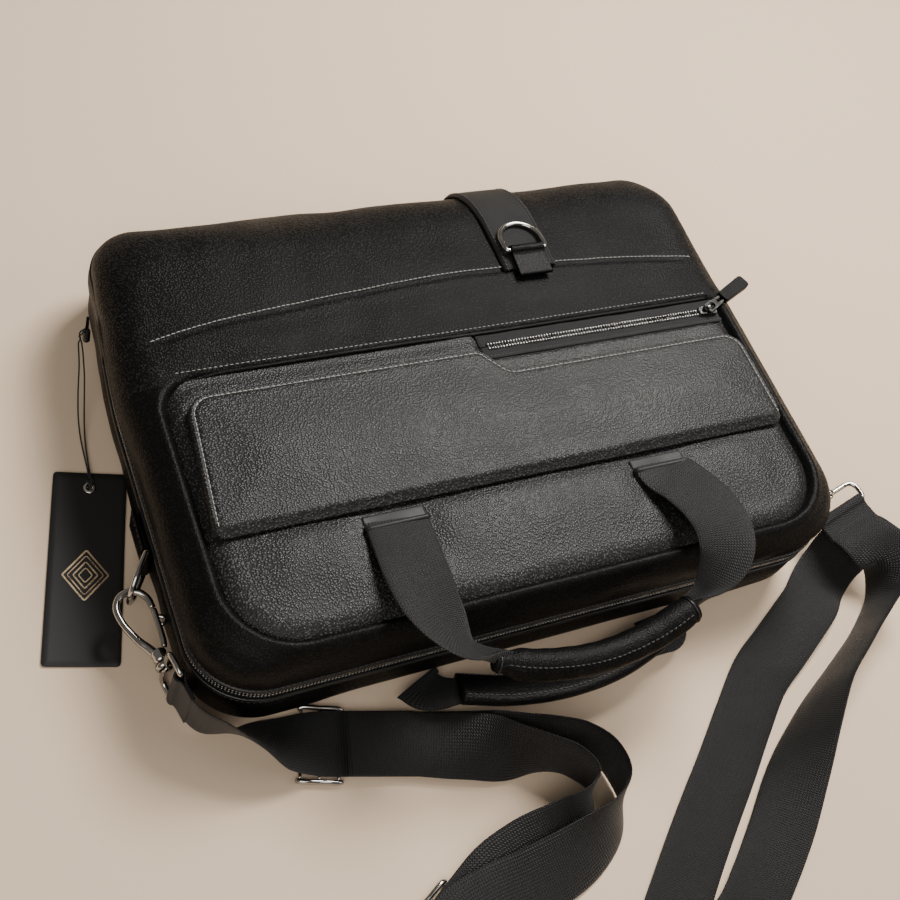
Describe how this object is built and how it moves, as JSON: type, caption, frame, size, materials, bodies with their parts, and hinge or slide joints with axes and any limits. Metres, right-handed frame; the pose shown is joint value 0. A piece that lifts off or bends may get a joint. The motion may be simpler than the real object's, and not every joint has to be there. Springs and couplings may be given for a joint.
{
  "type": "briefcase",
  "caption": "Soft laptop briefcase of pebbled leather, a clamshell with a flapped and zipped front pocket, twin carry handles, a clip-on webbing shoulder strap and a blank hang tag.",
  "frame": {"origin": "middle of the width on the flat back panel, which is the face the bag rests on, 148 mm from the handle edge", "axes": "+X along the width towards the side with the open zip end, +Y towards the bag's bottom edge and away from the handles, +Z out of the front face"},
  "size_m": [0.5525, 0.5434, 0.1017],
  "materials": {
    "leather": "black pebbled grain, satin",
    "leather_edge": "black smooth edge leather, satin",
    "webbing": "black woven nylon webbing, fine rib",
    "lining": "dark grey woven lining",
    "divider": "charcoal padded fabric",
    "board": "grey-brown fibre board, matte",
    "zip_tape": "black woven zip tape",
    "zip_metal": "dark nickel zip teeth",
    "hardware": "polished gunmetal nickel",
    "magnet": "plated disc",
    "card": "black card, matte",
    "eyelet": "pale brass",
    "string": "black waxed string"
  },
  "bodies": {
    "root": {"rear_shell": "leather", "rear_lining": "lining", "bottom_stiffener_board": "board", "laptop_divider": "divider", "main_zip_tape_rear": "zip_tape", "main_zip_chain_rear": "zip_metal", "side_tab_left": "leather", "side_tab_right": "leather", "zip_end_tab_left": "leather_edge", "zip_end_tab_right": "leather_edge", "strap_left": "webbing", "strap_tail_left": "webbing", "strap_right": "webbing", "strap_tail_right": "webbing", "strap_adjuster_left": "hardware", "strap_buckle_left": "hardware", "strap_adjuster_bottom": "hardware", "hook_loop_left": "hardware", "hook_loop_right": "hardware", "strap_end_left": "webbing", "strap_end_right": "webbing", "hang_tag_card": "card", "hang_tag_eyelet": "eyelet", "hang_tag_string": "string", "hang_tag_knot": "string"},
    "front_half": {"front_shell": "leather", "front_lining": "lining", "main_zip_tape_front": "zip_tape", "main_zip_chain_front": "zip_metal", "front_pocket_panel": "leather", "pocket_zip_tape": "zip_tape", "pocket_zip_chain_near": "zip_metal", "pocket_zip_chain_far": "zip_metal", "flap_hinge_welt": "leather_edge", "bottom_band": "webbing", "ring_loop": "leather", "front_handle_patch_left": "webbing", "front_handle_patch_right": "webbing"},
    "flap": {"flap": "leather", "flap_magnet_left": "magnet", "flap_magnet_right": "magnet"},
    "pocket_slider": {"pocket_zip_slider": "hardware"},
    "pocket_puller": {"pocket_zip_puller": "hardware", "pocket_zip_pull_tab": "leather_edge"},
    "front_handle": {"front_handle_webbing_left": "webbing", "front_handle_webbing_right": "webbing", "front_handle_grip": "leather"},
    "front_ring": {"front_ring": "hardware"},
    "rear_handle": {"rear_handle_webbing_left": "webbing", "rear_handle_webbing_right": "webbing", "rear_handle_grip": "leather"},
    "main_slider": {"main_zip_slider": "hardware"},
    "main_puller": {"main_zip_puller": "hardware"},
    "left_ring": {"side_ring_left": "hardware"},
    "left_claw": {"hook_claw_left": "hardware"},
    "left_gate": {"hook_gate_left": "hardware"},
    "right_ring": {"side_ring_right": "hardware"},
    "right_claw": {"hook_claw_right": "hardware"},
    "right_gate": {"hook_gate_right": "hardware"}
  },
  "joints": [
    {"name": "front_half_opening", "type": "hinge", "parent": "root", "child": "front_half", "pos_m": [0, 0.1685, 0.043], "axis": [-1, 0, 0], "range_deg": [0, 25]},
    {"name": "flap_lift", "type": "hinge", "parent": "front_half", "child": "flap", "pos_m": [0, -0.074, 0.093], "axis": [1, 0, 0], "range_deg": [0, 85]},
    {"name": "pocket_slider_travel", "type": "slide", "parent": "front_half", "child": "pocket_slider", "axis": [1, 0, 0], "range_m": [-0.15, 0]},
    {"name": "pocket_puller_turn", "type": "hinge", "parent": "pocket_slider", "child": "pocket_puller", "pos_m": [0.18108, 0.02141, 0.0876], "axis": [0.4078, -0.9131, 0], "range_deg": [0, 120]},
    {"name": "front_handle_swing", "type": "hinge", "parent": "front_half", "child": "front_handle", "pos_m": [0, -0.084, 0.0882], "axis": [-1, 0, 0], "range_deg": [0, 75]},
    {"name": "front_ring_swing", "type": "hinge", "parent": "front_half", "child": "front_ring", "pos_m": [0.068, 0.088, 0.0918], "axis": [1, 0, 0], "range_deg": [0, 150]},
    {"name": "rear_handle_swing", "type": "hinge", "parent": "root", "child": "rear_handle", "pos_m": [0, -0.152, 0.0095], "axis": [-1, 0, 0], "range_deg": [0, 40]},
    {"name": "main_slider_travel", "type": "slide", "parent": "root", "child": "main_slider", "axis": [0, 1, 0], "range_m": [-0.105, 0]},
    {"name": "main_puller_turn", "type": "hinge", "parent": "main_slider", "child": "main_puller", "pos_m": [0.21385, 0.09185, 0.043], "axis": [0, 0, 1], "range_deg": [0, 120]},
    {"name": "left_ring_swing", "type": "hinge", "parent": "root", "child": "left_ring", "pos_m": [-0.2156, -0.048, 0.027], "axis": [0, 0, 1], "range_deg": [0, 10]},
    {"name": "left_claw_swivel", "type": "hinge", "parent": "root", "child": "left_claw", "pos_m": [-0.22961, -0.06871, 0.027], "axis": [0.2101, -0.9766, -0.045], "range_deg": [-20, 20]},
    {"name": "left_gate_press", "type": "hinge", "parent": "left_claw", "child": "left_gate", "pos_m": [-0.21757, -0.098, 0.02559], "axis": [0.0095, -0.044, 0.999], "range_deg": [0, 22]},
    {"name": "right_ring_swing", "type": "hinge", "parent": "root", "child": "right_ring", "pos_m": [0.2156, -0.048, 0.027], "axis": [0, 0, 1], "range_deg": [-10, 0]},
    {"name": "right_claw_swivel", "type": "hinge", "parent": "root", "child": "right_claw", "pos_m": [0.2336, -0.06535, 0.027], "axis": [0.22, -0.975, 0.03], "range_deg": [-20, 20]},
    {"name": "right_gate_press", "type": "hinge", "parent": "right_claw", "child": "right_gate", "pos_m": [0.24593, -0.09454, 0.02794], "axis": [-0.0066, 0.0293, 0.9995], "range_deg": [0, 22]}
  ]
}
